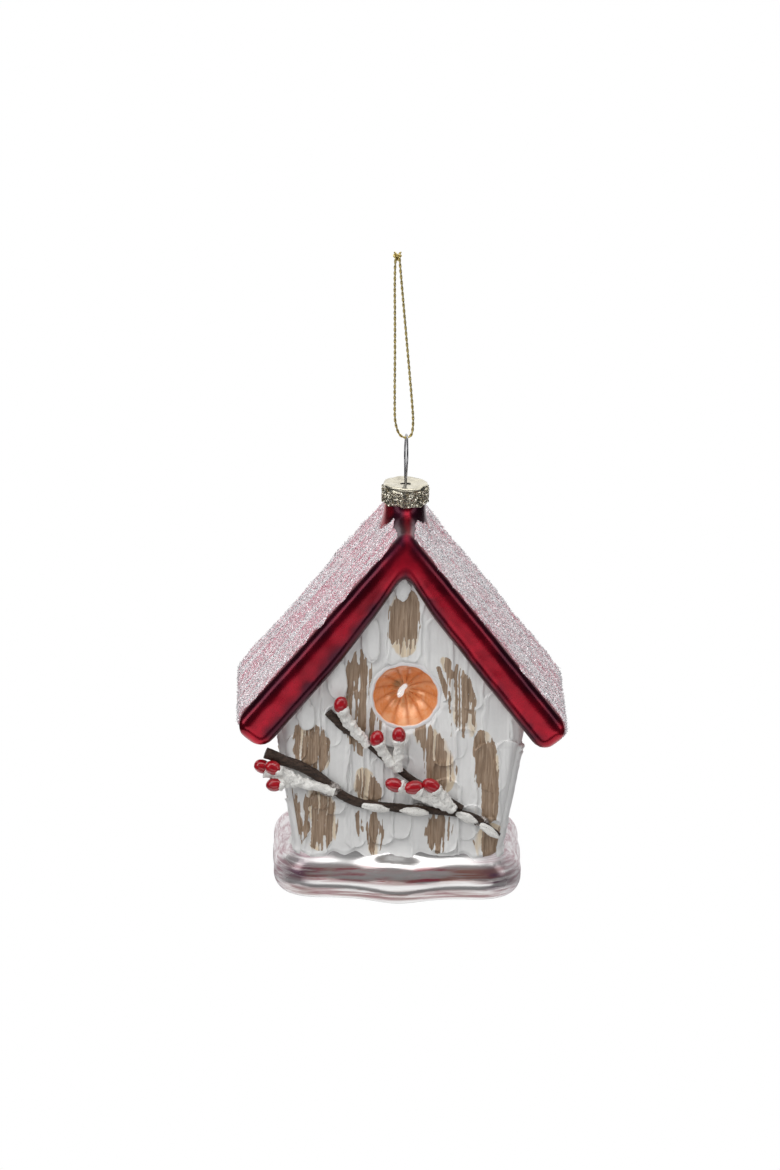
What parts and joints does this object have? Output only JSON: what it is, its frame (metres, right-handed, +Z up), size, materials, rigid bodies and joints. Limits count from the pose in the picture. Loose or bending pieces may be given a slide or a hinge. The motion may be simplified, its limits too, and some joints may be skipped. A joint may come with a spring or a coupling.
{
  "type": "birdhouse ornament",
  "caption": "Hanging blown-glass ornament shaped like a small birdhouse: snowy gabled roof, dished round front disc, twigs with berries, crown cap, wire eye and cord loop.",
  "frame": {"origin": "the hang point, inside the top of the cord loop, just under its knot", "axes": "+Z up along the hanging ornament, front with the round disc towards -Y, +X to the viewer's right"},
  "size_m": [0.087, 0.0508, 0.1737],
  "materials": {
    "lacquered_glass": "silvered inside, red, pearl and copper lacquer outside, satin",
    "relief_paint": "thick warm white brushed paste with taupe strokes, satin",
    "glitter_snow": "white crust full of fine silver glitter over red",
    "twig_bark": "natural dark bark, matt",
    "cap_metal": "pale champagne foil with fine glitter",
    "spring_wire": "bright drawn wire",
    "gold_cord": "twisted metallised thread, shiny",
    "berry_lacquer": "glossy red lacquer",
    "snow_paste": "off-white rough snow paste",
    "glue": "clear glue with a few glitter flakes"
  },
  "bodies": {
    "cord": {"hang_cord": "gold_cord", "cord_knot": "gold_cord"},
    "hanger": {"hanger_wire": "spring_wire"},
    "cap": {"cap": "cap_metal"},
    "house": {"glass_body": "lacquered_glass", "wall_paint": "relief_paint", "roof_snow_left": "glitter_snow", "roof_snow_right": "glitter_snow", "lower_twig": "twig_bark", "upper_twig": "twig_bark", "left_stems": "snow_paste", "high_stems": "snow_paste", "middle_stems": "snow_paste", "low_stems": "snow_paste", "left_berry_1": "berry_lacquer", "left_berry_2": "berry_lacquer", "left_berry_3": "berry_lacquer", "high_berry_1": "berry_lacquer", "middle_berry_1": "berry_lacquer", "middle_berry_2": "berry_lacquer", "low_berry_1": "berry_lacquer", "low_berry_2": "berry_lacquer", "low_berry_3": "berry_lacquer", "twig_snow_1": "snow_paste", "twig_snow_2": "snow_paste", "twig_snow_3": "snow_paste", "twig_snow_4": "snow_paste", "glue_dab_1": "glue", "glue_dab_2": "glue", "glue_dab_3": "glue"}
  },
  "joints": [
    {"name": "ornament_swing", "type": "hinge", "parent": "cord", "child": "hanger", "pos_m": [0.0035, 0, -0.0483], "axis": [1, 0, 0], "range_deg": [-40, 40]},
    {"name": "wire_play", "type": "slide", "parent": "hanger", "child": "cap", "axis": [0, 0, 1], "range_m": [0, 0.002]},
    {"name": "cap_pull_off", "type": "slide", "parent": "cap", "child": "house", "axis": [0, 0, -1], "range_m": [0, 0.02]}
  ]
}
